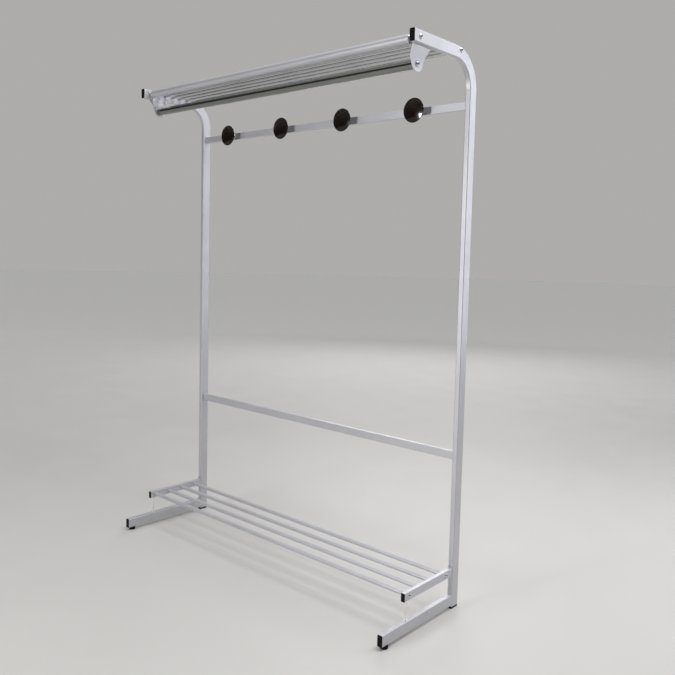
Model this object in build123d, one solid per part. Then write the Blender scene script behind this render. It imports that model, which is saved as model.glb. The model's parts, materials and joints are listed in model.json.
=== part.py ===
"""Free-standing cloakroom rack: two bent tube frames carrying a hat shelf, a hanging rail, a hook bar
with four round knobs, a crossbar and a shoe rack. It stands on the two capped uprights at the back and
on two levelling glides at the front.

Millimetres. The origin is on the floor at the middle of the rack's footprint. +X runs along the rack
to its right-hand frame, the uprights stand at the back (+Y) and the arms and feet reach forward (-Y).
"""
from build123d import *
import os
from math import acos, atan, atan2, cos, pi, sin, sqrt, tan

# ---- overall sizes ----
overall_width = 1500.0        # over the outer faces of the two side frames
overall_depth = 450.0         # front of the foot cap to the back of the upright
overall_height = 2000.0       # floor to the top of the arms

# ---- side frames ----
frame_tube_depth = 40.0       # tube section, measured front to back on the upright
frame_tube_width = 20.0       # tube section, measured along the rack
frame_tube_wall = 1.5
frame_tube_corner = 3.0
bend_radius = 110.0           # to the tube's centreline
arm_length = 375.0            # back of the upright to the front of the arm's cap

# ---- end caps and glides ----
cap_flange = 2.0
upright_cap_flange = 7.0      # the uprights stand on their caps' thick flanges
cap_depth = 14.0              # how far an arm's or foot's cap reaches inside its tube
shoe_cap_depth = 10.0         # how far a shoe rail's cap reaches inside it
cap_wall = 2.5
glide_height = 12.0           # floor to the underside of the foot tube, screwed right in
glide_diameter = 27.0
glide_taper = 2.0             # radius the pad loses towards the floor
glide_taper_height = 3.0
glide_top_break = 1.5
glide_travel = 10.0           # how far a glide can be screwed out to level the rack
glide_stud_diameter = 8.0
glide_stud_spare = 8.0        # stud left above its nut when the glide is screwed right out
glide_stud_seat = 7.0         # stud set into the pad
foot_nut_diameter = 13.0
foot_nut_length = 12.0
foot_nut_gap = 2.5            # foot cap's plug to the foot nut

# ---- hat shelf ----
shelf_drop = 5.0              # top of the arms down to the top of the shelf tubes
large_tube_diameter = 32.0    # shelf front tube and hanging rail
large_tube_wall = 1.5
small_tube_diameter = 16.0    # other shelf tubes and shoe tubes
small_tube_wall = 1.2
shelf_tube_count = 6          # small tubes behind the front tube
shelf_front_inset = 35.0      # front of the arm's cap to the front tube's axis
shelf_rear_inset = 65.0       # front of the upright to the last tube's axis
tube_socket_depth = 10.0      # how far a small tube enters the arm or shoe rail that holds it

# ---- hanging rail ----
rail_axis_inset = 71.0        # front of the arm's cap to the rail's axis
rail_axis_drop = 93.0         # top of the arms to the rail's axis
plate_thickness = 4.0
plate_offset = 17.0           # arm's inner face to the outer face of the plate's lobe
plate_bend_height = 30.0      # height over which the plate slants inward
plate_bend_gap = 2.0          # underside of the arm to the top of the bend
plate_bend_round = 3.0
plate_lobe_radius = 28.0
plate_lobe_lift = 3.0         # centre of the lobe above the rail's axis
plate_front_reach = 12.0      # shelf front tube's axis to the front of the plate
plate_rear_reach = 46.0       # rail axis to the back of the plate's upper part
plate_top_drop = 8.0          # top of the arms to the top of the plate's ear
plate_ear_margin = 4.0        # plate behind the front tube
plate_shelf_gap = 2.0         # plate below the small shelf tubes
spacer_diameter = 24.0        # between the plate's ear and the end of the shelf front tube
rail_screw_head_diameter = 21.0

# ---- hook bar and crossbar ----
bar_height = 30.0
bar_depth = 15.0
bar_wall = 1.5
bar_corner = 2.0
hook_bar_drop = 182.0         # top of the arms to the hook bar's axis
crossbar_axis_height = 566.0
spigot_length = 36.0
spigot_screw_diameter = 6.0
spigot_head_gap = 1.0         # spigot screw's head to the inside of the bar
spigot_screw_tip = 3.0        # screw standing inside the upright past its inner wall
grub_screw_diameter = 5.0
grub_screw_gap = 0.65         # end of the set screw to the spigot's bore
grub_screw_inset = 18.0       # end of the bar to the set screw's axis

# ---- knobs ----
knob_count = 4
knob_pitch = 350.0
knob_diameter = 90.0
knob_rim = 3.0                # thickness of the disc's edge
knob_dome = 5.0               # rise of the domed front over the edge
knob_dish = 3.0               # hollow of the disc's back
knob_dish_share = 0.72        # hollow left halfway from the boss to the edge
knob_standoff = 34.0          # front of the hook bar to the edge of the disc
knob_boss_diameter = 26.0
stem_diameter = 13.0
stem_flange_diameter = 24.0
stem_flange_thickness = 4.0
stem_flange_round = 1.3
stem_socket_depth = 4.0       # stem inside the knob's boss
knob_screw_diameter = 5.0
knob_screw_grip = 14.0        # screw inside the stem

# ---- shoe rack ----
shoe_rail_height = 30.0
shoe_rail_width = 15.0
shoe_rail_wall = 1.5
shoe_rail_corner = 2.0
shoe_rail_length = 290.0      # front of the cap to the front of the upright
shoe_rail_axis_height = 138.0
shoe_tube_count = 4
shoe_front_inset = 30.0       # front of the rail's cap to the first tube's axis
shoe_rear_inset = 38.0        # front of the upright to the last tube's axis
shoe_tube_end_gap = 3.5       # end of a plugged-in shoe tube to the rail's outer wall
bracket_thickness = 3.0
bracket_rise = 12.0           # bracket above the top of the shoe rail
bracket_screw_rise = 6.0
bracket_screw_length = 12.0
support_rod_diameter = 7.0
support_rod_gap = 3.5         # shoe rail cap's plug to the rod
support_rod_collar_diameter = 12.0
support_rod_collar_height = 3.0
support_rod_end = 5.0         # rod end inside the foot tube and inside the shoe rail

# ---- bolts, plugs and clearances ----
large_bolt_diameter = 8.0
large_bolt_head_diameter = 16.0
small_bolt_diameter = 6.0
small_bolt_head_diameter = 14.0
fine_bolt_diameter = 5.0
fine_bolt_head_diameter = 9.5
head_height_share = 0.32      # domed head's height over its diameter
head_edge_share = 0.25        # straight edge of a head over its height
drive_width_share = 0.36      # hexagon socket's radius over the head's radius
drive_depth_share = 0.55      # hexagon socket's depth over the head's height
large_bolt_grip = 20.0        # bolt inside a large plug
small_bolt_grip = 18.0        # bolt inside a small plug
plug_length = 28.0
plug_clearance = 0.05         # radial, plug in its tube, bolt in its thread, stud in its nut
slip_clearance = 0.1          # all round, cap or spigot in its tube, small tube in its socket
bolt_hole_clearance = 0.25    # radial, bolt through a plain hole
cut_margin = 1.0              # how far a cutter runs past the wall it cuts
edge_break = 0.5

# ---- places that follow from the sizes above ----
y_back = overall_depth / 2
y_upright_front = y_back - frame_tube_depth
y_upright_axis = y_back - frame_tube_depth / 2
y_foot_front = -overall_depth / 2
y_arm_front = y_back - arm_length
x_outer = overall_width / 2
x_inner = x_outer - frame_tube_width
x_frame_axis = x_outer - frame_tube_width / 2
z_upright_bottom = upright_cap_flange
z_foot_bottom = glide_height
z_foot_axis = z_foot_bottom + frame_tube_depth / 2
z_foot_top = z_foot_bottom + frame_tube_depth
z_arm_axis = overall_height - frame_tube_depth / 2
z_shelf_top = overall_height - shelf_drop
z_large_shelf = z_shelf_top - large_tube_diameter / 2
z_small_shelf = z_shelf_top - small_tube_diameter / 2
y_shelf_front = y_arm_front + shelf_front_inset
y_shelf_rear = y_upright_front - shelf_rear_inset
shelf_pitch = (y_shelf_rear - y_shelf_front) / shelf_tube_count
y_rail = y_arm_front + rail_axis_inset
z_rail = overall_height - rail_axis_drop
x_plate_inner = x_inner - plate_thickness
x_lobe_outer = x_inner - plate_offset
x_lobe_inner = x_lobe_outer - plate_thickness
y_plate_front = y_shelf_front - plate_front_reach
y_plate_rear = y_rail + plate_rear_reach
y_plate_ear = y_shelf_front + large_tube_diameter / 2 + plate_ear_margin
z_plate_top = overall_height - plate_top_drop
z_plate_shelf = z_small_shelf - small_tube_diameter / 2 - plate_shelf_gap
z_bend_top = overall_height - frame_tube_depth - plate_bend_gap
z_bend_bottom = z_bend_top - plate_bend_height
z_lobe_axis = z_rail + plate_lobe_lift
z_plate_bottom = z_lobe_axis - plate_lobe_radius
hook_bar_axis_height = overall_height - hook_bar_drop
y_bar_front = y_upright_axis - bar_depth / 2
y_bar_back = y_upright_axis + bar_depth / 2
y_spigot_back = y_bar_back - bar_wall - slip_clearance
spigot_bore_diameter = spigot_screw_diameter + 2 * bolt_hole_clearance
spigot_head_diameter = bar_depth - 2 * bar_wall - 2 * spigot_head_gap
y_grub_screw_end = y_upright_axis + spigot_bore_diameter / 2 + grub_screw_gap
y_shoe_front = y_upright_front - shoe_rail_length
y_shoe_first = y_shoe_front + shoe_front_inset
y_shoe_last = y_upright_front - shoe_rear_inset
shoe_pitch = (y_shoe_last - y_shoe_first) / (shoe_tube_count - 1)
x_shoe_outer = x_frame_axis + shoe_rail_width / 2
x_shoe_inner = x_frame_axis - shoe_rail_width / 2
z_shoe_top = shoe_rail_axis_height + shoe_rail_height / 2
z_shoe_bottom = shoe_rail_axis_height - shoe_rail_height / 2
y_support_rod = y_shoe_front + cap_flange + shoe_cap_depth + support_rod_gap + support_rod_diameter / 2
y_glide_front = y_foot_front + cap_flange + cap_depth + foot_nut_gap + foot_nut_diameter / 2
sides = {"left": -1, "right": 1}


# ---- shared shapes ----
def round_bar(diameter, start, end):
    """Solid cylinder between two points."""
    run = Vector(*end) - Vector(*start)
    return Plane(origin=start, z_dir=run) * Cylinder(
        diameter / 2, run.length, align=(Align.CENTER, Align.CENTER, Align.MIN))


def bar_along_x(diameter, x_from, x_to, y, z):
    return round_bar(diameter, (x_from, y, z), (x_to, y, z))


def bar_along_y(diameter, x, y_from, y_to, z):
    return round_bar(diameter, (x, y_from, z), (x, y_to, z))


def bar_along_z(diameter, x, y, z_from, z_to):
    return round_bar(diameter, (x, y, z_from), (x, y, z_to))


def round_tube(diameter, wall, x_half, y, z):
    """Hollow round tube along the rack."""
    bore_half = x_half + cut_margin
    return (bar_along_x(diameter, -x_half, x_half, y, z)
            - bar_along_x(diameter - 2 * wall, -bore_half, bore_half, y, z))


def rounded_section(plane, width, height, corner):
    """Rounded rectangle on a plane: width along its X, height along its Y."""
    return plane * RectangleRounded(width, height, corner)


def box_tube(plane, width, height, wall, corner, length):
    """Hollow rectangular tube with rounded corners, running from a plane along its normal."""
    outer = extrude(rounded_section(plane, width, height, corner), length)
    hollow = rounded_section(plane, width - 2 * wall, height - 2 * wall, max(corner - wall, edge_break))
    return outer - extrude(hollow, length)


def tube_cap(plane, width, height, wall, corner, depth, flange_thickness=cap_flange):
    """Push-in end cap: a flange as large as the tube and a hollow plug inside it.

    The plane lies on the end of the tube, its normal pointing out of it.
    """
    flange = extrude(rounded_section(plane, width, height, corner), flange_thickness)
    front_edges = flange.faces().sort_by(Axis(plane.origin, plane.z_dir))[-1].edges()
    flange = chamfer(front_edges, edge_break)
    inner_width = width - 2 * wall - 2 * slip_clearance
    inner_height = height - 2 * wall - 2 * slip_clearance
    plug_corner = max(corner - wall, edge_break)
    plug = extrude(rounded_section(plane, inner_width, inner_height, plug_corner), -depth)
    hollow = extrude(plane * Rectangle(inner_width - 2 * cap_wall, inner_height - 2 * cap_wall), -depth)
    return flange + (plug - hollow)


def dome_arc(radius, low, high):
    """Arc of a spherical dome's outline, from its edge at (radius, low) to its top at (0, high)."""
    rise = high - low
    sphere = (radius ** 2 + rise ** 2) / (2 * abs(rise))
    drop = sphere - sqrt(sphere ** 2 - radius ** 2 / 4)
    middle = high - drop if rise > 0 else high + drop
    return ThreePointArc((radius, low), (radius / 2, middle), (0, high))


def domed_bolt(diameter, head_diameter, length, seat, direction):
    """Bolt with a domed head: the head sits at seat and the shank points along direction."""
    head_height = head_height_share * head_diameter
    head_radius = head_diameter / 2
    head_edge = head_height * head_edge_share
    outline = Curve() + [
        Line((0, 0), (head_radius, 0)),
        Line((head_radius, 0), (head_radius, -head_edge)),
        dome_arc(head_radius, -head_edge, -head_height),
        Line((0, -head_height), (0, 0))]
    head = revolve(Plane.XZ * make_face(outline.edges()), Axis.Z)
    drive = extrude(RegularPolygon(head_radius * drive_width_share, 6), head_height * drive_depth_share)
    shank = Cylinder(diameter / 2, length, align=(Align.CENTER, Align.CENTER, Align.MIN))
    shank = chamfer(shank.edges().sort_by(Axis.Z)[-1], edge_break)
    return Plane(origin=seat, z_dir=direction) * (head - Pos(0, 0, -head_height) * drive + shank)


def tube_plug(diameter, wall, bolt_diameter, x_end, side, y, z):
    """Threaded plug inside the end of a round tube whose end face is at x_end."""
    start = side * x_end
    end = side * (x_end - plug_length)
    body = bar_along_x(diameter - 2 * wall - 2 * plug_clearance, start, end, y, z)
    return body - bar_along_x(bolt_diameter + 2 * plug_clearance, start, end, y, z)


def tangent_point(point, centre, radius, turn):
    """Where a line from a point touches a circle, on the side of the centre line that turn picks."""
    run = (point[0] - centre[0], point[1] - centre[1])
    angle = atan2(run[1], run[0]) + turn * acos(radius / sqrt(run[0] ** 2 + run[1] ** 2))
    return (centre[0] + radius * cos(angle), centre[1] + radius * sin(angle))


# ---- side frames ----
def frame_path():
    """Centreline of a side frame: up the back, round the bend and forward along the arm."""
    bend_low = (y_upright_axis, z_arm_axis - bend_radius)
    bend_high = (y_upright_axis - bend_radius, z_arm_axis)
    inset = bend_radius * (1 - cos(pi / 4))
    arm_end = (y_arm_front + cap_flange, z_arm_axis)
    outline = Curve() + [
        Line((y_upright_axis, z_upright_bottom), bend_low),
        ThreePointArc(bend_low, (y_upright_axis - inset, z_arm_axis - inset), bend_high),
        Line(bend_high, arm_end)]
    return Plane.YZ * Wire(outline.edges())


def side_frame(side):
    path = frame_path()
    start = Plane(origin=(0, y_upright_axis, z_upright_bottom), x_dir=(1, 0, 0), z_dir=(0, 0, 1))
    outer = sweep(rounded_section(start, frame_tube_width, frame_tube_depth, frame_tube_corner), path=path)
    inner = sweep(rounded_section(start, frame_tube_width - 2 * frame_tube_wall,
                                  frame_tube_depth - 2 * frame_tube_wall,
                                  frame_tube_corner - frame_tube_wall), path=path)
    frame = Pos(side * x_frame_axis, 0, 0) * (outer - inner)
    for cutter in frame_holes(side):
        frame -= cutter
    return frame


def frame_holes(side):
    """Cutters for every hole in a side frame."""
    outside = side * (x_outer + cut_margin)
    inside = side * (x_inner - cut_margin)
    inner_wall_end = side * (x_inner + frame_tube_wall + cut_margin)
    bolt_hole = large_bolt_diameter + 2 * bolt_hole_clearance
    tube_hole = small_tube_diameter + 2 * slip_clearance
    screw_hole = spigot_screw_diameter + 2 * plug_clearance
    holes = [bar_along_x(bolt_hole, outside, inside, y, z)
             for y, z in ((y_shelf_front, z_large_shelf), (y_shelf_rear, z_small_shelf))]
    holes += [bar_along_x(tube_hole, inner_wall_end, inside, y, z_small_shelf)
              for y in socketed_shelf_places()]
    holes += [bar_along_x(screw_hole, inner_wall_end, inside, y_upright_axis, z)
              for z in (hook_bar_axis_height, crossbar_axis_height)]
    holes.append(bar_along_y(fine_bolt_diameter + 2 * plug_clearance, side * x_frame_axis,
                             y_upright_front - cut_margin, y_upright_front + frame_tube_wall + cut_margin,
                             z_shoe_top + bracket_screw_rise))
    return holes


def foot_plane(side, z_dir):
    """Section plane at the front end of a foot tube, facing back or forward."""
    return Plane(origin=(side * x_frame_axis, y_foot_front + cap_flange, z_foot_axis),
                 x_dir=(1, 0, 0), z_dir=z_dir)


def foot_tube(side):
    """Foot tube, welded to the front of the upright and open for its glide nut and support rod."""
    x = side * x_frame_axis
    length = y_upright_front - y_foot_front - cap_flange
    tube = box_tube(foot_plane(side, (0, 1, 0)), frame_tube_width, frame_tube_depth, frame_tube_wall,
                    frame_tube_corner, length)
    nut_hole = bar_along_z(foot_nut_diameter + 2 * plug_clearance, x, y_glide_front,
                           z_foot_bottom - cut_margin, z_foot_bottom + frame_tube_wall + cut_margin)
    rod_hole = bar_along_z(support_rod_diameter + 2 * plug_clearance, x, y_support_rod,
                           z_foot_top - frame_tube_wall - cut_margin, z_foot_top + cut_margin)
    return tube - nut_hole - rod_hole


def frame_cap(plane, flange_thickness=cap_flange):
    """End cap for the tube that the side frames and feet are made of."""
    return tube_cap(plane, frame_tube_width, frame_tube_depth, frame_tube_wall, frame_tube_corner,
                    cap_depth, flange_thickness)


def arm_cap(side):
    return frame_cap(Plane(origin=(side * x_frame_axis, y_arm_front + cap_flange, z_arm_axis),
                           x_dir=(1, 0, 0), z_dir=(0, -1, 0)))


def foot_cap(side):
    return frame_cap(foot_plane(side, (0, -1, 0)))


def upright_cap(side):
    """Cap in the bottom of the upright, with a thick flange that stands on the floor."""
    plane = Plane(origin=(side * x_frame_axis, y_upright_axis, z_upright_bottom),
                  x_dir=(1, 0, 0), z_dir=(0, 0, -1))
    return frame_cap(plane, upright_cap_flange)


def foot_nut(side):
    """Threaded insert in the bottom of the foot tube, for the glide."""
    x = side * x_frame_axis
    nut_top = z_foot_bottom + foot_nut_length
    body = bar_along_z(foot_nut_diameter, x, y_glide_front, z_foot_bottom, nut_top)
    thread = bar_along_z(glide_stud_diameter + 2 * plug_clearance, x, y_glide_front,
                         z_foot_bottom - cut_margin, nut_top + cut_margin)
    return body - thread


# ---- levelling glides ----
def glide_pad(side):
    """Round pad that stands on the floor, a little narrower at the bottom."""
    radius = glide_diameter / 2
    profile = Plane.XZ * make_face(Polyline(
        (0, 0), (radius - glide_taper, 0), (radius, glide_taper_height),
        (radius, glide_height - glide_top_break), (radius - glide_top_break, glide_height),
        (0, glide_height), close=True))
    seat = bar_along_z(glide_stud_diameter + 2 * plug_clearance, 0, 0,
                       glide_height - glide_stud_seat, glide_height)
    return Pos(side * x_frame_axis, y_glide_front, 0) * (revolve(profile, Axis.Z) - seat)


def glide_stud(side):
    top = glide_height + foot_nut_length + glide_travel + glide_stud_spare
    stud = bar_along_z(glide_stud_diameter, side * x_frame_axis, y_glide_front,
                       glide_height - glide_stud_seat, top)
    return chamfer(stud.edges().sort_by(Axis.Z)[-1], edge_break)


# ---- hat shelf ----
def shelf_places():
    """Y of each small shelf tube, front to back."""
    return [y_shelf_front + shelf_pitch * (index + 1) for index in range(shelf_tube_count)]


def socketed_shelf_places():
    """The small shelf tubes that plug into the arms; the last one is bolted instead."""
    return shelf_places()[:-1]


def shelf_front_tube():
    return round_tube(large_tube_diameter, large_tube_wall, x_lobe_inner, y_shelf_front, z_large_shelf)


def shelf_tube_spacer(side):
    """Sleeve on the bolt between the rail plate's ear and the end of the shelf front tube."""
    ends = (side * x_lobe_inner, side * x_plate_inner)
    hole = large_bolt_diameter + 2 * bolt_hole_clearance
    return (bar_along_x(spacer_diameter, *ends, y_shelf_front, z_large_shelf)
            - bar_along_x(hole, *ends, y_shelf_front, z_large_shelf))


def shelf_tube(y):
    socketed = y in socketed_shelf_places()
    x_half = x_inner + tube_socket_depth if socketed else x_inner
    return round_tube(small_tube_diameter, small_tube_wall, x_half, y, z_small_shelf)


def shelf_bolts():
    """One long bolt through the arm at each end of the front and the last shelf tube."""
    front_length = x_outer - x_lobe_inner + large_bolt_grip
    rear_length = frame_tube_width + large_bolt_grip
    places = ((y_shelf_front, z_large_shelf, front_length), (y_shelf_rear, z_small_shelf, rear_length))
    return [domed_bolt(large_bolt_diameter, large_bolt_head_diameter, length,
                       (side * x_outer, y, z), (-side, 0, 0))
            for side in sides.values() for y, z, length in places]


def large_tube_plugs():
    """Threaded plugs in the ends of the shelf front tube and of the hanging rail."""
    return [tube_plug(large_tube_diameter, large_tube_wall, large_bolt_diameter, x_lobe_inner, side, y, z)
            for side in sides.values()
            for y, z in ((y_shelf_front, z_large_shelf), (y_rail, z_rail))]


# ---- hanging rail ----
def plate_outline():
    """The rail plate from the side: a round lobe for the rail, a neck that widens up to the arm, and an
    ear that is clamped between the arm and the spacer."""
    lobe = (y_rail, z_lobe_axis)
    front_top = (y_plate_front, z_bend_top)
    rear_top = (y_plate_rear, z_bend_top)
    front_touch = tangent_point(front_top, lobe, plate_lobe_radius, 1)
    rear_touch = tangent_point(rear_top, lobe, plate_lobe_radius, -1)
    outline = Curve() + [
        Line((y_plate_front, z_plate_top), front_top),
        Line(front_top, front_touch),
        ThreePointArc(front_touch, (y_rail, z_plate_bottom), rear_touch),
        Line(rear_touch, rear_top),
        Line(rear_top, (y_plate_rear, z_plate_shelf)),
        Line((y_plate_rear, z_plate_shelf), (y_plate_ear, z_plate_shelf)),
        Line((y_plate_ear, z_plate_shelf), (y_plate_ear, z_plate_top)),
        Line((y_plate_ear, z_plate_top), (y_plate_front, z_plate_top))]
    return Plane.YZ * make_face(outline.edges())


def plate_section():
    """The rail plate from the front: flat against the arm, slanting inward under it, then upright."""
    rise = plate_thickness * tan(atan(plate_offset / plate_bend_height) / 2)
    corners = [(x_inner, z_plate_top), (x_inner, z_bend_top), (x_lobe_outer, z_bend_bottom),
               (x_lobe_outer, z_plate_bottom), (x_lobe_inner, z_plate_bottom),
               (x_lobe_inner, z_bend_bottom + rise), (x_plate_inner, z_bend_top + rise),
               (x_plate_inner, z_plate_top)]
    section = make_face(Polyline(*corners, close=True))
    bends = [vertex for vertex in section.vertices() if z_plate_bottom < vertex.Y < z_plate_top]
    plane = Plane(origin=(0, y_plate_rear, 0), x_dir=(1, 0, 0), z_dir=(0, -1, 0))
    return plane * fillet(bends, plate_bend_round)


def rail_plate(side):
    plate = extrude(plate_section(), y_plate_rear - y_plate_front) & extrude(plate_outline(), x_outer)
    hole = large_bolt_diameter + 2 * bolt_hole_clearance
    for y, z in ((y_rail, z_rail), (y_shelf_front, z_large_shelf)):
        plate -= bar_along_x(hole, x_inner + cut_margin, x_lobe_inner - cut_margin, y, z)
    return plate if side > 0 else mirror(plate, about=Plane.YZ)


def hanging_rail():
    return round_tube(large_tube_diameter, large_tube_wall, x_lobe_inner, y_rail, z_rail)


def hanging_rail_screws():
    return [domed_bolt(large_bolt_diameter, rail_screw_head_diameter, plate_thickness + large_bolt_grip,
                       (side * x_lobe_outer, y_rail, z_rail), (-side, 0, 0))
            for side in sides.values()]


# ---- hook bar and crossbar ----
def flat_bar(z):
    """Rectangular tube between the uprights, with a threaded hole in its back near each end."""
    plane = Plane(origin=(-x_inner, y_upright_axis, z), x_dir=(0, 1, 0), z_dir=(1, 0, 0))
    bar = box_tube(plane, bar_depth, bar_height, bar_wall, bar_corner, 2 * x_inner)
    for side in sides.values():
        bar -= bar_along_y(grub_screw_diameter + 2 * plug_clearance, side * (x_inner - grub_screw_inset),
                           y_bar_back - bar_wall - cut_margin, y_bar_back + cut_margin, z)
    return bar


def hook_bar():
    bar = flat_bar(hook_bar_axis_height)
    for x in knob_places():
        bar -= bar_along_y(knob_screw_diameter + 2 * bolt_hole_clearance, x,
                           y_bar_front - cut_margin, y_bar_back + cut_margin, hook_bar_axis_height)
    return bar


def crossbar():
    return flat_bar(crossbar_axis_height)


def bar_ends():
    """Side and height of each end of the two bars."""
    return [(side, z) for z in (hook_bar_axis_height, crossbar_axis_height) for side in sides.values()]


def bar_spigot(side, z):
    """Block screwed to the upright's inner face, which the end of a bar slides over."""
    plane = Plane(origin=(side * x_inner, y_upright_axis, z), x_dir=(0, 1, 0), z_dir=(-side, 0, 0))
    gap = 2 * bar_wall + 2 * slip_clearance
    block = extrude(rounded_section(plane, bar_depth - gap, bar_height - gap, bar_corner), spigot_length)
    bore = bar_along_x(spigot_bore_diameter, side * (x_inner + cut_margin),
                       side * (x_inner - spigot_length - cut_margin), y_upright_axis, z)
    thread = bar_along_y(grub_screw_diameter + 2 * plug_clearance, side * (x_inner - grub_screw_inset),
                         y_grub_screw_end, y_spigot_back + cut_margin, z)
    return block - bore - thread


def spigot_screw(side, z):
    """Domed screw from the end of a spigot into the upright's inner wall."""
    length = spigot_length + frame_tube_wall + spigot_screw_tip
    return domed_bolt(spigot_screw_diameter, spigot_head_diameter, length,
                      (side * (x_inner - spigot_length), y_upright_axis, z), (side, 0, 0))


def bar_grub_screw(side, z):
    """Set screw through the back of a bar into its spigot."""
    return bar_along_y(grub_screw_diameter, side * (x_inner - grub_screw_inset),
                       y_grub_screw_end, y_bar_back, z)


# ---- knobs ----
def knob_places():
    """X of each knob, left to right."""
    return [(index - (knob_count - 1) / 2) * knob_pitch for index in range(knob_count)]


def knob(x):
    """Round disc with a domed front, a dished back and a boss for its stem."""
    radius = knob_diameter / 2
    boss = knob_boss_diameter / 2
    edge = knob_rim / 2
    hollow_middle = ((boss + radius) / 2, knob_dish * knob_dish_share)
    front = Curve() + [
        Line((0, -knob_dish), (boss, -knob_dish)),
        Line((boss, -knob_dish), (boss, knob_dish)),
        ThreePointArc((boss, knob_dish), hollow_middle, (radius - edge, 0)),
        ThreePointArc((radius - edge, 0), (radius, edge), (radius - edge, knob_rim)),
        dome_arc(radius - edge, knob_rim, knob_rim + knob_dome),
        Line((0, knob_rim + knob_dome), (0, -knob_dish))]
    disc = revolve(Plane.XZ * make_face(front.edges()), Axis.Z)
    socket = bar_along_z(stem_diameter + 2 * plug_clearance, 0, 0,
                         -knob_dish, stem_socket_depth - knob_dish)
    place = Plane(origin=(x, y_bar_front - knob_standoff, hook_bar_axis_height),
                  x_dir=(1, 0, 0), z_dir=(0, -1, 0))
    return place * (disc - socket)


def stem_length():
    """Front of the hook bar to the bottom of the socket in the knob's boss."""
    return knob_standoff - knob_dish + stem_socket_depth


def knob_stem(x):
    """Turned stem with a round flange against the hook bar."""
    z = hook_bar_axis_height
    shaft = bar_along_y(stem_diameter, x, y_bar_front, y_bar_front - stem_length(), z)
    flange = bar_along_y(stem_flange_diameter, x, y_bar_front, y_bar_front - stem_flange_thickness, z)
    flange = fillet(flange.edges().sort_by(Axis.Y)[0], stem_flange_round)
    thread = bar_along_y(knob_screw_diameter + 2 * plug_clearance, x,
                         y_bar_front, y_bar_front - knob_screw_grip - cut_margin, z)
    return shaft + flange - thread


def knob_screws():
    """Screws from the back of the hook bar into the stems."""
    return [domed_bolt(knob_screw_diameter, fine_bolt_head_diameter, bar_depth + knob_screw_grip,
                       (x, y_bar_back, hook_bar_axis_height), (0, -1, 0))
            for x in knob_places()]


# ---- shoe rack ----
def shoe_places():
    """Y of each shoe tube, front to back."""
    return [y_shoe_first + shoe_pitch * index for index in range(shoe_tube_count)]


def bolted_shoe_places():
    """The first and last shoe tubes are bolted to the rails; those between plug into them."""
    return [shoe_places()[0], shoe_places()[-1]]


def shoe_rail_plane(side, z_dir):
    """Section plane at the front end of a shoe rail, facing back or forward."""
    return Plane(origin=(side * x_frame_axis, y_shoe_front + cap_flange, shoe_rail_axis_height),
                 x_dir=(1, 0, 0), z_dir=z_dir)


def shoe_rail(side):
    length = y_upright_front - bracket_thickness - y_shoe_front - cap_flange
    rail = box_tube(shoe_rail_plane(side, (0, 1, 0)), shoe_rail_width, shoe_rail_height, shoe_rail_wall,
                    shoe_rail_corner, length)
    outside = side * (x_shoe_outer + cut_margin)
    inside = side * (x_shoe_inner - cut_margin)
    inner_wall_end = side * (x_shoe_inner + shoe_rail_wall + cut_margin)
    bolt_hole = small_bolt_diameter + 2 * bolt_hole_clearance
    tube_hole = small_tube_diameter + 2 * slip_clearance
    for y in shoe_places():
        if y in bolted_shoe_places():
            rail -= bar_along_x(bolt_hole, outside, inside, y, shoe_rail_axis_height)
        else:
            rail -= bar_along_x(tube_hole, inner_wall_end, inside, y, shoe_rail_axis_height)
    return rail - bar_along_z(support_rod_diameter + 2 * plug_clearance, side * x_frame_axis, y_support_rod,
                              z_shoe_bottom - cut_margin, z_shoe_bottom + shoe_rail_wall + cut_margin)


def shoe_rail_cap(side):
    return tube_cap(shoe_rail_plane(side, (0, -1, 0)), shoe_rail_width, shoe_rail_height, shoe_rail_wall,
                    shoe_rail_corner, shoe_cap_depth)


def shoe_tube(y):
    x_plugged = x_shoe_outer - shoe_rail_wall - shoe_tube_end_gap
    x_half = x_shoe_inner if y in bolted_shoe_places() else x_plugged
    return round_tube(small_tube_diameter, small_tube_wall, x_half, y, shoe_rail_axis_height)


def shoe_tube_screws():
    return [domed_bolt(small_bolt_diameter, small_bolt_head_diameter, shoe_rail_width + small_bolt_grip,
                       (side * x_shoe_outer, y, shoe_rail_axis_height), (-side, 0, 0))
            for side in sides.values() for y in bolted_shoe_places()]


def small_tube_plugs():
    """Threaded plugs in the ends of the last shelf tube and of the two bolted shoe tubes."""
    plugs = []
    for side in sides.values():
        plugs.append(tube_plug(small_tube_diameter, small_tube_wall, large_bolt_diameter, x_inner, side,
                               y_shelf_rear, z_small_shelf))
        plugs += [tube_plug(small_tube_diameter, small_tube_wall, small_bolt_diameter, x_shoe_inner, side,
                            y, shoe_rail_axis_height) for y in bolted_shoe_places()]
    return plugs


def shoe_rail_bracket(side):
    """Plate welded to the back of the shoe rail, rising above it to take a screw."""
    height = shoe_rail_height + bracket_rise
    plane = Plane(origin=(side * x_frame_axis, y_upright_front, z_shoe_bottom + height / 2),
                  x_dir=(1, 0, 0), z_dir=(0, -1, 0))
    plate = extrude(rounded_section(plane, shoe_rail_width, height, shoe_rail_corner), bracket_thickness)
    hole = bar_along_y(fine_bolt_diameter + 2 * bolt_hole_clearance, side * x_frame_axis,
                       y_upright_front + cut_margin, y_upright_front - bracket_thickness - cut_margin,
                       z_shoe_top + bracket_screw_rise)
    return plate - hole


def bracket_screw(side):
    seat = (side * x_frame_axis, y_upright_front - bracket_thickness, z_shoe_top + bracket_screw_rise)
    return domed_bolt(fine_bolt_diameter, fine_bolt_head_diameter, bracket_screw_length, seat, (0, 1, 0))


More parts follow.
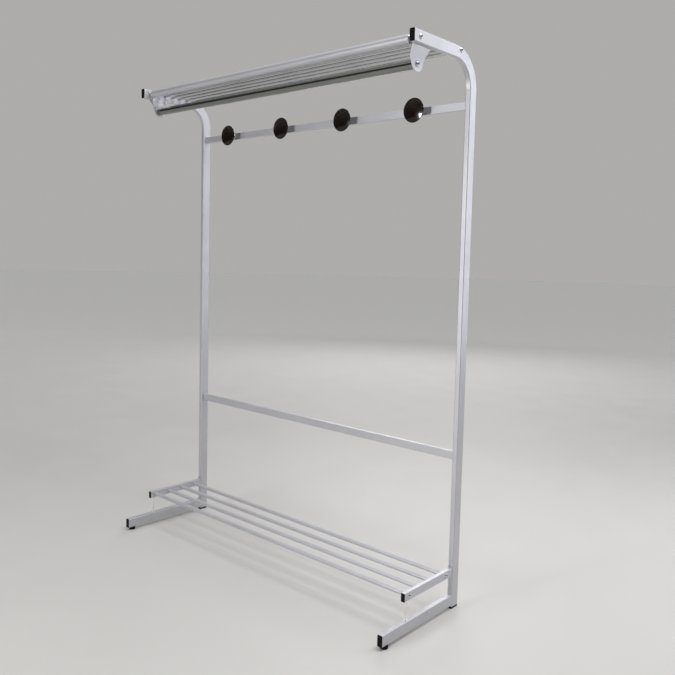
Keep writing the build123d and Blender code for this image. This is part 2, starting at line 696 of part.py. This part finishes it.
def support_rod(side):
    """Thin rod between the foot tube and the shoe rail, with a collar against each."""
    x = side * x_frame_axis
    return (bar_along_z(support_rod_diameter, x, y_support_rod,
                        z_foot_top - support_rod_end, z_shoe_bottom + support_rod_end)
            + bar_along_z(support_rod_collar_diameter, x, y_support_rod,
                          z_foot_top, z_foot_top + support_rod_collar_height)
            + bar_along_z(support_rod_collar_diameter, x, y_support_rod,
                          z_shoe_bottom - support_rod_collar_height, z_shoe_bottom))


# ---- the whole rack ----
def build_nodes():
    """Every node's name and its solids."""
    nodes = {}
    for name, side in sides.items():
        nodes["side_frame_" + name] = [side_frame(side)]
        nodes["foot_tube_" + name] = [foot_tube(side)]
        nodes["arm_cap_" + name] = [arm_cap(side)]
        nodes["foot_cap_" + name] = [foot_cap(side)]
        nodes["upright_cap_" + name] = [upright_cap(side)]
        nodes["rail_plate_" + name] = [rail_plate(side)]
        nodes["shoe_rail_" + name] = [shoe_rail(side)]
        nodes["shoe_rail_cap_" + name] = [shoe_rail_cap(side)]
        nodes["support_rod_" + name] = [support_rod(side)]
        nodes["glide_pad_" + name] = [glide_pad(side)]
        nodes["glide_stud_" + name] = [glide_stud(side)]
    nodes["foot_nuts"] = [foot_nut(side) for side in sides.values()]
    nodes["shelf_front_tube"] = [shelf_front_tube()]
    nodes["shelf_tube_spacers"] = [shelf_tube_spacer(side) for side in sides.values()]
    for index, y in enumerate(shelf_places(), 1):
        nodes[f"shelf_tube_{index}"] = [shelf_tube(y)]
    nodes["shelf_bolts"] = shelf_bolts()
    nodes["large_tube_plugs"] = large_tube_plugs()
    nodes["small_tube_plugs"] = small_tube_plugs()
    nodes["hanging_rail"] = [hanging_rail()]
    nodes["hanging_rail_screws"] = hanging_rail_screws()
    nodes["hook_bar"] = [hook_bar()]
    nodes["crossbar"] = [crossbar()]
    nodes["bar_spigots"] = [bar_spigot(side, z) for side, z in bar_ends()]
    nodes["spigot_screws"] = [spigot_screw(side, z) for side, z in bar_ends()]
    nodes["bar_grub_screws"] = [bar_grub_screw(side, z) for side, z in bar_ends()]
    for index, x in enumerate(knob_places(), 1):
        nodes[f"knob_{index}"] = [knob(x)]
        nodes[f"knob_stem_{index}"] = [knob_stem(x)]
    nodes["knob_screws"] = knob_screws()
    for index, y in enumerate(shoe_places(), 1):
        nodes[f"shoe_tube_{index}"] = [shoe_tube(y)]
    nodes["shoe_tube_screws"] = shoe_tube_screws()
    nodes["shoe_rail_brackets"] = [shoe_rail_bracket(side) for side in sides.values()]
    nodes["bracket_screws"] = [bracket_screw(side) for side in sides.values()]
    return nodes


os.makedirs("parts", exist_ok=True)
for node, shapes in build_nodes().items():
    solids = [solid for shape in shapes for solid in shape.solids()]
    export_step(solids[0] if len(solids) == 1 else Compound(children=solids), f"parts/{node}.step")
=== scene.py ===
import json
import math

import bmesh
import bpy
from mathutils import Matrix, Vector


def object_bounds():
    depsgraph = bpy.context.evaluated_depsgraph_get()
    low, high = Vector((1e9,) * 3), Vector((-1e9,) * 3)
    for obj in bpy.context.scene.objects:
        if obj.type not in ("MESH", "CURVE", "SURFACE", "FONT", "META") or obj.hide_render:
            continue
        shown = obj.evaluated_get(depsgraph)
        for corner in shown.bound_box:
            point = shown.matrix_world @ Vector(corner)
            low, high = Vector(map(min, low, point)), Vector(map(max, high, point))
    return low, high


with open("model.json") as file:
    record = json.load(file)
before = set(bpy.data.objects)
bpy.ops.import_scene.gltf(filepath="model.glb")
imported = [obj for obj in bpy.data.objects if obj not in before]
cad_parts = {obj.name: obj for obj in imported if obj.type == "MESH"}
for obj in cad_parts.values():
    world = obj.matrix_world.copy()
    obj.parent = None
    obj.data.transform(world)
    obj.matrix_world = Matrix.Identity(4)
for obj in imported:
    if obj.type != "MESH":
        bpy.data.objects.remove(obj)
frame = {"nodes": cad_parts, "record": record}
cad_box = [list(corner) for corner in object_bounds()]

# ---- camera: where it stands in the row frame (metres), and how it is turned (degrees) ----
CAMERA_PLACE = (2.16303, -2.06221, 1.29054)
CAMERA_AZIMUTH = 41.772
CAMERA_ELEVATION = -4.477
CAMERA_ROLL = 1.361
IMAGE_SIDE = 675.0            # pixels
FOCAL_LENGTH = 739.0          # pixels
CAMERA_SHIFT = -26.39         # pixels, optical axis above the middle of the image
SENSOR_WIDTH = 36.0

# ---- studio ----
FLOOR_RADIUS = 40.0            # metres
FLOOR_SIDES = 96
FLOOR_FADE = (2.5, 9.0)        # metres from the middle over which the floor is painted paler, painted light making up for the light that falls off towards the backdrop
FLOOR_COLOUR = (0.60, 0.59, 0.57)
FAR_FLOOR_PAINTED_LIGHT_COLOUR = (0.86, 0.85, 0.83)
BACKDROP_COLOUR = (0.42, 0.415, 0.405)
ROOM_RISE = (0.04, 0.9)        # heights of view over which the room turns from dark to pale
ROOM_LOW = (0.012, 0.012, 0.012)    # what surfaces see of the room, near the horizon
ROOM_HIGH = (0.30, 0.303, 0.31)      # and overhead


# ---- node helpers ----
class Finish:
    """A material, its node tree and its Principled shader."""

    def __init__(self, name, **values):
        self.material = bpy.data.materials.new(name)
        self.material.use_nodes = True
        self.tree = self.material.node_tree
        self.shader = self.tree.nodes["Principled BSDF"]
        for socket, value in values.items():
            self.shader.inputs[socket.replace("_", " ")].default_value = value
        self.place = self.tree.nodes.new("ShaderNodeTexCoord").outputs["Object"]

    def node(self, kind, **inputs):
        made = self.tree.nodes.new("ShaderNode" + kind)
        for socket, value in inputs.items():
            self.feed(made.inputs[socket.replace("_", " ")], value)
        return made

    def feed(self, socket, value):
        """Links value to a socket if it is an output, and otherwise sets it."""
        if isinstance(value, bpy.types.NodeSocket):
            self.tree.links.new(value, socket)
        else:
            socket.default_value = value

    def noise(self, size, stretch=(1, 1, 1), detail=3.0, roughness=0.55):
        """Noise from 0 to 1 whose features are about size metres across, times stretch along each axis."""
        scale = tuple(1 / part for part in stretch)
        moved = self.node("Mapping", Vector=self.place, Scale=scale).outputs["Vector"]
        return self.node("TexNoise", Vector=moved, Scale=1 / size, Detail=detail,
                         Roughness=roughness).outputs["Fac"]

    def spread(self, value, low, high, to_low=0.0, to_high=1.0):
        """Value's range low..high stretched over to_low..to_high, and held there beyond it."""
        node = self.tree.nodes.new("ShaderNodeMapRange")
        for index, given in enumerate((value, low, high, to_low, to_high)):
            self.feed(node.inputs[index], given)
        return node.outputs[0]

    def math(self, operation, *values):
        node = self.tree.nodes.new("ShaderNodeMath")
        node.operation = operation
        for index, value in enumerate(values):
            self.feed(node.inputs[index], value)
        return node.outputs[0]

    def mix_colour(self, share, first, second):
        node = self.tree.nodes.new("ShaderNodeMix")
        node.data_type = "RGBA"
        self.feed(node.inputs[0], share)
        for socket, colour in ((node.inputs[6], first), (node.inputs[7], second)):
            self.feed(socket, colour if isinstance(colour, bpy.types.NodeSocket) else (*colour, 1))
        return node.outputs[2]

    def edges(self, width):
        """1 on convex and concave edges, 0 away from them."""
        rounded = self.node("Bevel", Radius=width).outputs["Normal"]
        flat = self.tree.nodes.new("ShaderNodeNewGeometry").outputs["Normal"]
        both = self.tree.nodes.new("ShaderNodeVectorMath")
        both.operation = "DOT_PRODUCT"
        self.feed(both.inputs[0], rounded)
        self.feed(both.inputs[1], flat)
        return self.spread(both.outputs["Value"], 0.97, 0.72)

    def height(self):
        """The point's height over the floor."""
        split = self.node("SeparateXYZ", Vector=self.place)
        return split.outputs["Z"]

    def distance(self):
        """The point's distance from the origin."""
        length = self.tree.nodes.new("ShaderNodeVectorMath")
        length.operation = "LENGTH"
        self.feed(length.inputs[0], self.place)
        return length.outputs["Value"]

    def colour(self, value):
        self.feed(self.shader.inputs["Base Color"], value)

    def roughness(self, value):
        self.feed(self.shader.inputs["Roughness"], value)

    def bump(self, *layers):
        """Bump from (height, depth in metres) pairs, one on top of the other."""
        normal = None
        for height, depth in layers:
            node = self.node("Bump", Height=height, Distance=depth, Strength=1.0)
            if normal is not None:
                self.feed(node.inputs["Normal"], normal)
            normal = node.outputs["Normal"]
        self.feed(self.shader.inputs["Normal"], normal)


# ---- materials ----
def frame_paint():
    """Silver-grey powder coat: a satin skin with orange peel, fine metallic speckle, and scuffs low down."""
    f = Finish("frame_paint", Metallic=0.75, Specular_IOR_Level=0.5, Coat_Weight=0.12, Coat_Roughness=0.22)
    tone = f.spread(f.noise(0.22, detail=2.0), 0.35, 0.65)
    speckle = f.spread(f.noise(0.0007, detail=1.0), 0.56, 0.72)
    peel = f.noise(0.0021, detail=1.5)
    grit = f.noise(0.00045, detail=1.0)
    rubbed = f.spread(f.noise(0.016, detail=5.0, roughness=0.7), 0.56, 0.70)
    low_down = f.spread(f.height(), 0.15, 0.0)
    body = f.mix_colour(tone, (0.566, 0.569, 0.602), (0.604, 0.606, 0.638))
    body = f.mix_colour(f.math("MULTIPLY", speckle, 0.55), body, (0.76, 0.76, 0.785))
    scuffed = f.math("MULTIPLY", f.math("MULTIPLY", rubbed, low_down), 0.55)
    body = f.mix_colour(scuffed, body, (0.36, 0.355, 0.36))
    worn = f.math("MULTIPLY", f.edges(0.0012), f.spread(f.noise(0.010, detail=4.0), 0.44, 0.66))
    body = f.mix_colour(f.math("MULTIPLY", worn, 0.45), body, (0.78, 0.78, 0.81))
    f.colour(body)
    handled = f.spread(f.noise(0.05, detail=4.0), 0.3, 0.7, 0.44, 0.52)
    f.roughness(f.math("ADD", handled, f.math("MULTIPLY", scuffed, 0.25)))
    f.bump((peel, 0.00010), (grit, 0.00003))
    return f.material


def chrome(name, lines, tint, low, high):
    """Plated tube, with faint drawing lines along it, wipe marks and fine pits."""
    f = Finish(name, Metallic=1.0)
    drawn = f.noise(0.0006, stretch=lines, detail=2.0)
    wiped = f.noise(0.03, stretch=(2.5, 1, 1), detail=5.0, roughness=0.65)
    pits = f.spread(f.noise(0.0009, detail=1.0), 0.74, 0.80)
    smears = f.spread(wiped, 0.40, 0.72)
    bright = tuple(min(1.0, part * 1.07) for part in tint)
    colour = f.mix_colour(smears, bright, tint)
    f.colour(f.mix_colour(f.math("MULTIPLY", pits, 0.6), colour, (0.30, 0.29, 0.28)))
    f.roughness(f.math("ADD", f.spread(wiped, 0.30, 0.72, low, high), f.math("MULTIPLY", pits, 0.3)))
    f.bump((drawn, 0.000004), (pits, -0.00001))
    return f.material


def moulded_plastic(name, dark, light, low, high, grain):
    """Black moulded plastic with a fine spark-eroded grain, flow marks and rubbed edges."""
    f = Finish(name, Specular_IOR_Level=0.08)
    flow = f.spread(f.noise(0.012, stretch=(1, 1, 2.5), detail=3.0), 0.35, 0.7)
    dust = f.spread(f.noise(0.0025, detail=5.0, roughness=0.7), 0.60, 0.78)
    body = f.mix_colour(flow, dark, light)
    body = f.mix_colour(f.math("MULTIPLY", f.edges(0.0006), 0.35), body, (0.045, 0.045, 0.047))
    f.colour(f.mix_colour(f.math("MULTIPLY", dust, 0.18), body, (0.045, 0.044, 0.042)))
    f.roughness(f.spread(f.noise(0.006, detail=4.0), 0.3, 0.7, low, high))
    f.bump((f.noise(grain, detail=2.0), 0.00004), (flow, 0.00005))
    return f.material


def knob_plastic():
    """Dark brown pressed resin, polished, with a cloudy depth, polishing swirls and fine dust."""
    f = Finish("knob_plastic", Specular_IOR_Level=0.2, Coat_Weight=0.5, Coat_Roughness=0.05)
    cloud = f.spread(f.noise(0.017, detail=5.0, roughness=0.6), 0.35, 0.68)
    vein = f.spread(f.noise(0.004, stretch=(1, 1, 4), detail=4.0), 0.58, 0.72)
    dust = f.spread(f.noise(0.0011, detail=2.0), 0.72, 0.80)
    body = f.mix_colour(cloud, (0.0065, 0.0040, 0.0030), (0.0125, 0.0070, 0.0048))
    body = f.mix_colour(f.math("MULTIPLY", vein, 0.5), body, (0.020, 0.0105, 0.0065))
    f.colour(f.mix_colour(f.math("MULTIPLY", dust, 0.35), body, (0.09, 0.085, 0.08)))
    f.roughness(f.spread(f.noise(0.009, detail=5.0, roughness=0.65), 0.3, 0.72, 0.12, 0.24))
    f.bump((f.noise(0.012, detail=1.0), 0.00003), (dust, 0.00002))
    return f.material


def turned_steel(name, tint, low, high):
    """Plated steel hardware: fine tool marks, a mottled plating and brighter, rubbed corners."""
    f = Finish(name, Metallic=1.0)
    mottled = f.spread(f.noise(0.0035, detail=4.0, roughness=0.6), 0.35, 0.7)
    marks = f.noise(0.0004, detail=2.0)
    dull = tuple(part * 0.78 for part in tint)
    body = f.mix_colour(mottled, tint, dull)
    bare = tuple(min(1.0, part * 1.2) for part in tint)
    f.colour(f.mix_colour(f.math("MULTIPLY", f.edges(0.0004), 0.4), body, bare))
    f.roughness(f.spread(mottled, 0.0, 1.0, low, high))
    f.bump((marks, 0.000012))
    return f.material


def floor_finish():
    """Pale, sealed studio floor with a faint cloudy tone, painted paler towards the backdrop as painted
    light that makes up for the light falling off there.
    """
    f = Finish("floor_finish", Specular_IOR_Level=0.3)
    cloud = f.spread(f.noise(0.9, detail=4.0), 0.3, 0.7)
    darker = tuple(part * 0.965 for part in FLOOR_COLOUR)
    near = f.mix_colour(cloud, FLOOR_COLOUR, darker)
    # painted light: the floor colour turns paler with distance from the middle, standing in for light where
    # the lamps fall off
    f.colour(f.mix_colour(f.spread(f.distance(), *FLOOR_FADE), near, FAR_FLOOR_PAINTED_LIGHT_COLOUR))
    f.roughness(f.spread(f.noise(0.25, detail=4.0), 0.3, 0.7, 0.46, 0.58))
    f.bump((f.noise(0.004, detail=3.0), 0.0001))
    return f.material


def finishes():
    """The record's material slots and the material that shows each."""
    tube_lines = (400, 1, 1)        # drawing lines run along X on the tubes
    stem_lines = (40, 1, 40)        # and round the stems
    painted_reflection_tint = (0.26, 0.265, 0.25)     # painted reflection: darker than chrome, standing in for the dark room that the rail mirrors
    return {
        "frame_paint": frame_paint(),
        "shelf_tube_metal": chrome("shelf_tube_metal", tube_lines, (0.60, 0.60, 0.61), 0.13, 0.24),
        "rail_chrome": chrome("rail_chrome", tube_lines, painted_reflection_tint, 0.05, 0.12),
        "stem_chrome": chrome("stem_chrome", stem_lines, (0.74, 0.74, 0.75), 0.06, 0.14),
        "cap_plastic": moulded_plastic("cap_plastic", (0.0045, 0.0045, 0.005), (0.008, 0.008, 0.0085),
                                       0.46, 0.60, 0.0006),
        "glide_plastic": moulded_plastic("glide_plastic", (0.005, 0.005, 0.005), (0.010, 0.010, 0.010),
                                         0.50, 0.66, 0.0009),
        "knob_plastic": knob_plastic(),
        "screw_steel": turned_steel("screw_steel", (0.74, 0.75, 0.77), 0.12, 0.28),
        "rod_steel": turned_steel("rod_steel", (0.96, 0.955, 0.94), 0.38, 0.50),
        "plug_metal": turned_steel("plug_metal", (0.62, 0.62, 0.62), 0.28, 0.42),
    }


def paint_nodes(materials):
    """Gives every CAD node the material of its slot in the record."""
    for part in frame["record"]["subparts"]:
        mesh = frame["nodes"][part["node"]].data
        mesh.materials.clear()
        mesh.materials.append(materials[part["material_slot"]])


# ---- studio ----
def make_floor():
    floor_mesh = bmesh.new()
    bmesh.ops.create_circle(floor_mesh, cap_ends=True, segments=FLOOR_SIDES, radius=FLOOR_RADIUS)
    mesh = bpy.data.meshes.new("floor")
    floor_mesh.to_mesh(mesh)
    floor_mesh.free()
    mesh.materials.append(floor_finish())
    floor = bpy.data.objects.new("floor", mesh)
    bpy.context.scene.collection.objects.link(floor)


def make_world():
    """A plain grey backdrop behind the object; surfaces see a dim room that brightens overhead."""
    world = bpy.data.worlds.new("studio")
    bpy.context.scene.world = world
    world.use_nodes = True
    tree = world.node_tree
    tree.nodes.clear()
    up = tree.nodes.new("ShaderNodeSeparateXYZ")
    tree.links.new(tree.nodes.new("ShaderNodeTexCoord").outputs["Generated"], up.inputs[0])
    ramp = tree.nodes.new("ShaderNodeValToRGB")
    for stop, position, colour in zip(ramp.color_ramp.elements, ROOM_RISE, (ROOM_LOW, ROOM_HIGH)):
        stop.position = position
        stop.color = (*colour, 1)
    tree.links.new(up.outputs["Z"], ramp.inputs["Fac"])
    room = tree.nodes.new("ShaderNodeBackground")
    tree.links.new(ramp.outputs["Color"], room.inputs["Color"])
    backdrop = tree.nodes.new("ShaderNodeBackground")
    backdrop.inputs["Color"].default_value = (*BACKDROP_COLOUR, 1)
    choose = tree.nodes.new("ShaderNodeMixShader")
    tree.links.new(tree.nodes.new("ShaderNodeLightPath").outputs["Is Camera Ray"], choose.inputs[0])
    tree.links.new(room.outputs[0], choose.inputs[1])
    tree.links.new(backdrop.outputs[0], choose.inputs[2])
    tree.links.new(choose.outputs[0], tree.nodes.new("ShaderNodeOutputWorld").inputs["Surface"])


def aim(thing, place, target):
    """Puts a light at place, pointing at target."""
    thing.location = place
    thing.rotation_euler = (Vector(target) - Vector(place)).to_track_quat("-Z", "Y").to_euler()


def area_light(name, place, target, width, height, power, colour=(1, 1, 1)):
    data = bpy.data.lights.new(name, "AREA")
    data.shape = "RECTANGLE"
    data.size, data.size_y, data.energy, data.color = width, height, power, colour
    light = bpy.data.objects.new(name, data)
    bpy.context.scene.collection.objects.link(light)
    light.visible_camera = False
    aim(light, place, target)


def sun_light(name, direction, strength, spread):
    data = bpy.data.lights.new(name, "SUN")
    data.energy, data.angle = strength, math.radians(spread)
    light = bpy.data.objects.new(name, data)
    bpy.context.scene.collection.objects.link(light)
    aim(light, (0, 0, 0), direction)


def make_lights():
    high = Vector(cad_box[1])
    right_frame = Vector((high.x, 0.2, 1.2))
    sun_light("overhead_sky", (0.05, 0.12, -1), 1.0, 100)
    area_light("front_window", (-0.8, -5.0, 1.65), (0, 0, 1.2), 0.75, 0.75, 92)
    area_light("side_strip", (high.x + 1.25, 2.1, 2.05), right_frame, 1.45, 2.9, 25, (0.955, 0.965, 1.0))
    area_light("right_softbox", (1.7, 0.3, high.z + 2.2), (0.5, 0, 1.0), 1.6, 1.6, 70)
    area_light("back_softbox", (-3.2, 5.5, 3.4), (0.4, -0.1, 0.1), 3.0, 2.0, 75)


# ---- camera ----
def make_camera():
    azimuth, elevation, roll = (math.radians(a) for a in (CAMERA_AZIMUTH, CAMERA_ELEVATION, CAMERA_ROLL))
    forward = Vector((-math.sin(azimuth) * math.cos(elevation), math.cos(azimuth) * math.cos(elevation),
                      math.sin(elevation)))
    level_right = forward.cross(Vector((0, 0, 1))).normalized()
    level_up = level_right.cross(forward)
    right = math.cos(roll) * level_right + math.sin(roll) * level_up
    up = math.cos(roll) * level_up - math.sin(roll) * level_right
    data = bpy.data.cameras.new("photo_view")
    data.sensor_width = SENSOR_WIDTH
    data.lens = FOCAL_LENGTH / IMAGE_SIDE * SENSOR_WIDTH
    data.shift_y = CAMERA_SHIFT / IMAGE_SIDE
    camera = bpy.data.objects.new("photo_view", data)
    bpy.context.scene.collection.objects.link(camera)
    axes = Matrix((right, up, -forward)).transposed()
    camera.matrix_world = Matrix.Translation(CAMERA_PLACE) @ axes.to_4x4()
    bpy.context.scene.camera = camera


paint_nodes(finishes())
make_floor()
make_world()
make_lights()
make_camera()
bpy.context.scene.view_settings.view_transform = "Standard"
